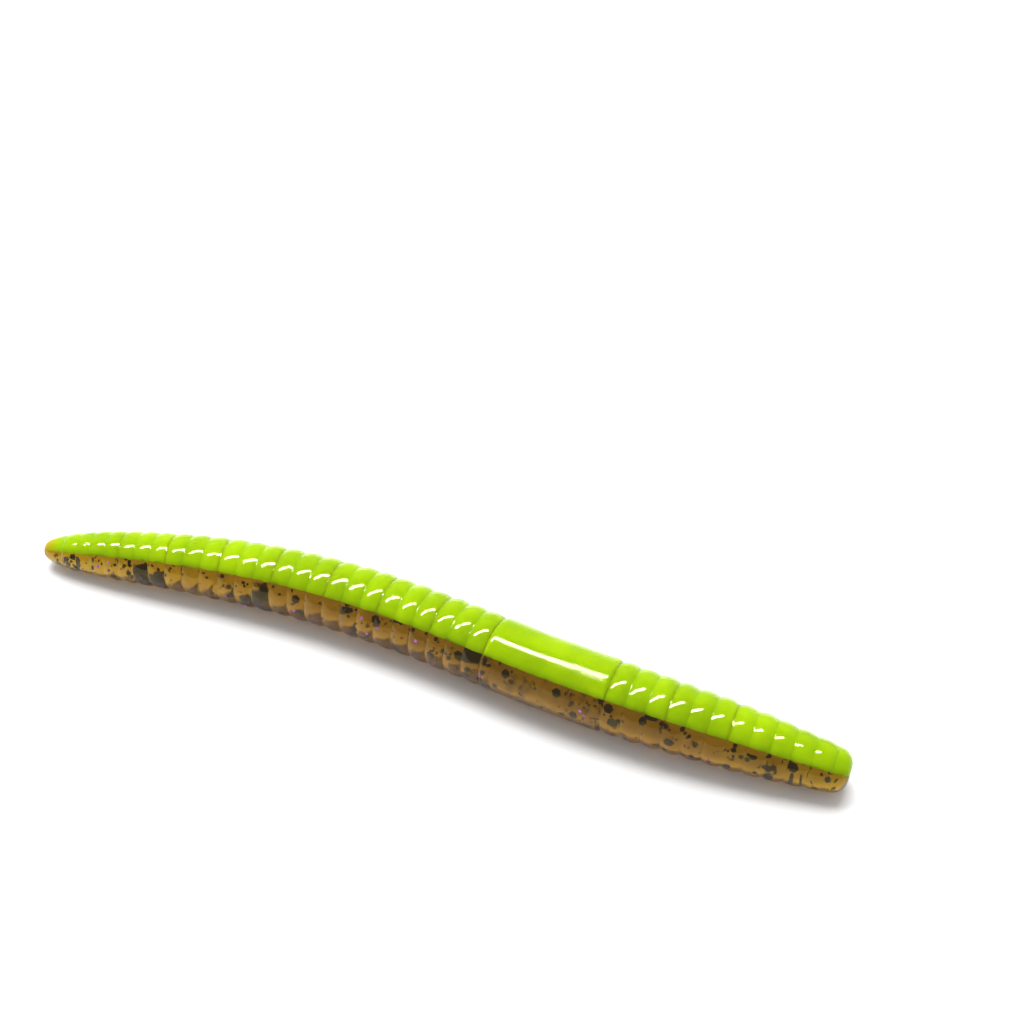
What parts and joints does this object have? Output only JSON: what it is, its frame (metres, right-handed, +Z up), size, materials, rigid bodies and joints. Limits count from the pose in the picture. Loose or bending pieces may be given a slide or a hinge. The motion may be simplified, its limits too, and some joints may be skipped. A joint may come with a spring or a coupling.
{
  "type": "soft plastic worm",
  "caption": "Ringed soft plastic stick worm with a smooth band, cast from two laminates with flakes in one, that bends sideways and upwards along its length.",
  "frame": {"origin": "middle of the underside of the resting worm, on the surface that it lies on", "axes": "+X along the body from the tail to the nose, +Z up out of the belly side, which faces up"},
  "size_m": [0.1264, 0.0149, 0.0108],
  "materials": {
    "back_laminate": "translucent green pumpkin, glossy",
    "belly_laminate": "opaque chartreuse, glossy",
    "black_flake": "black film flake",
    "purple_flake": "metallic purple film flake"
  },
  "bodies": {
    "tail_tip": {"back_tail_tip": "back_laminate", "belly_tail_tip": "belly_laminate", "black_flakes_tail_tip": "black_flake", "purple_flakes_tail_tip": "purple_flake"},
    "tail_2": {"back_tail_2": "back_laminate", "belly_tail_2": "belly_laminate", "black_flakes_tail_2": "black_flake", "purple_flakes_tail_2": "purple_flake"},
    "tail_3": {"back_tail_3": "back_laminate", "belly_tail_3": "belly_laminate", "black_flakes_tail_3": "black_flake", "purple_flakes_tail_3": "purple_flake"},
    "tail_4": {"back_tail_4": "back_laminate", "belly_tail_4": "belly_laminate", "black_flakes_tail_4": "black_flake", "purple_flakes_tail_4": "purple_flake"},
    "tail_5": {"back_tail_5": "back_laminate", "belly_tail_5": "belly_laminate", "black_flakes_tail_5": "black_flake", "purple_flakes_tail_5": "purple_flake"},
    "body_1": {"back_body_1": "back_laminate", "belly_body_1": "belly_laminate", "black_flakes_body_1": "black_flake", "purple_flakes_body_1": "purple_flake"},
    "body_2": {"back_body_2": "back_laminate", "belly_body_2": "belly_laminate", "black_flakes_body_2": "black_flake", "purple_flakes_body_2": "purple_flake"},
    "body_3": {"back_body_3": "back_laminate", "belly_body_3": "belly_laminate", "black_flakes_body_3": "black_flake", "purple_flakes_body_3": "purple_flake"},
    "band_rear": {"back_band_rear": "back_laminate", "belly_band_rear": "belly_laminate", "black_flakes_band_rear": "black_flake", "purple_flakes_band_rear": "purple_flake"},
    "band_front": {"back_band_front": "back_laminate", "belly_band_front": "belly_laminate", "black_flakes_band_front": "black_flake", "purple_flakes_band_front": "purple_flake"},
    "neck": {"back_neck": "back_laminate", "belly_neck": "belly_laminate", "black_flakes_neck": "black_flake", "purple_flakes_neck": "purple_flake"},
    "head": {"back_head": "back_laminate", "belly_head": "belly_laminate", "black_flakes_head": "black_flake", "purple_flakes_head": "purple_flake"},
    "nose": {"back_nose": "back_laminate", "belly_nose": "belly_laminate", "black_flakes_nose": "black_flake", "purple_flakes_nose": "purple_flake"}
  },
  "joints": [
    {"name": "up_bend_tail_tip", "type": "hinge", "parent": "tail_2", "child": "tail_tip", "pos_m": [-0.05364, -0.00108, 0.00355], "axis": [-0.1521, 0.9884, 0], "range_deg": [0, 30], "stiffness_Nm_per_rad": 0.000539},
    {"name": "side_bend_tail_2", "type": "hinge", "parent": "tail_3", "child": "tail_2", "pos_m": [-0.04627, 0.00002, 0.00419], "axis": [0, 0, -1], "range_deg": [-29, 31], "stiffness_Nm_per_rad": 0.00105},
    {"name": "up_bend_tail_3", "type": "hinge", "parent": "tail_4", "child": "tail_3", "pos_m": [-0.03817, 0.00109, 0.00465], "axis": [-0.1132, 0.9936, 0], "range_deg": [0, 30], "stiffness_Nm_per_rad": 0.0016},
    {"name": "side_bend_tail_4", "type": "hinge", "parent": "tail_5", "child": "tail_4", "pos_m": [-0.02949, 0.00192, 0.00498], "axis": [0, 0, -1], "range_deg": [-27, 33], "stiffness_Nm_per_rad": 0.00211},
    {"name": "up_bend_tail_5", "type": "hinge", "parent": "body_1", "child": "tail_5", "pos_m": [-0.02073, 0.0023, 0.0052], "axis": [-0.0131, 0.9999, 0], "range_deg": [0, 30], "stiffness_Nm_per_rad": 0.00252},
    {"name": "side_bend_body_1", "type": "hinge", "parent": "body_2", "child": "body_1", "pos_m": [-0.01197, 0.00215, 0.00534], "axis": [0, 0, -1], "range_deg": [-27, 33], "stiffness_Nm_per_rad": 0.00281},
    {"name": "up_bend_body_2", "type": "hinge", "parent": "body_3", "child": "body_2", "pos_m": [-0.00323, 0.00154, 0.00542], "axis": [0.0915, 0.9958, 0], "range_deg": [0, 30], "stiffness_Nm_per_rad": 0.00297},
    {"name": "side_bend_body_3", "type": "hinge", "parent": "band_rear", "child": "body_3", "pos_m": [0.00549, 0.00055, 0.00543], "axis": [0, 0, -1], "range_deg": [-29.5, 30.5], "stiffness_Nm_per_rad": 0.003},
    {"name": "up_bend_band_front", "type": "hinge", "parent": "band_rear", "child": "band_front", "pos_m": [0.01912, -0.00113, 0.00543], "axis": [-0.0958, -0.9954, 0], "range_deg": [0, 30], "stiffness_Nm_per_rad": 0.003},
    {"name": "side_bend_neck", "type": "hinge", "parent": "band_front", "child": "neck", "pos_m": [0.03282, -0.00209, 0.00536], "axis": [0, 0, 1], "range_deg": [-32.5, 27.5], "stiffness_Nm_per_rad": 0.00285},
    {"name": "up_bend_head", "type": "hinge", "parent": "neck", "child": "head", "pos_m": [0.04158, -0.00231, 0.00511], "axis": [-0.0131, -0.9999, 0], "range_deg": [0, 30], "stiffness_Nm_per_rad": 0.00234},
    {"name": "side_bend_nose", "type": "hinge", "parent": "head", "child": "nose", "pos_m": [0.05033, -0.00231, 0.00457], "axis": [0, 0, 1], "range_deg": [-31, 29], "stiffness_Nm_per_rad": 0.0015}
  ]
}
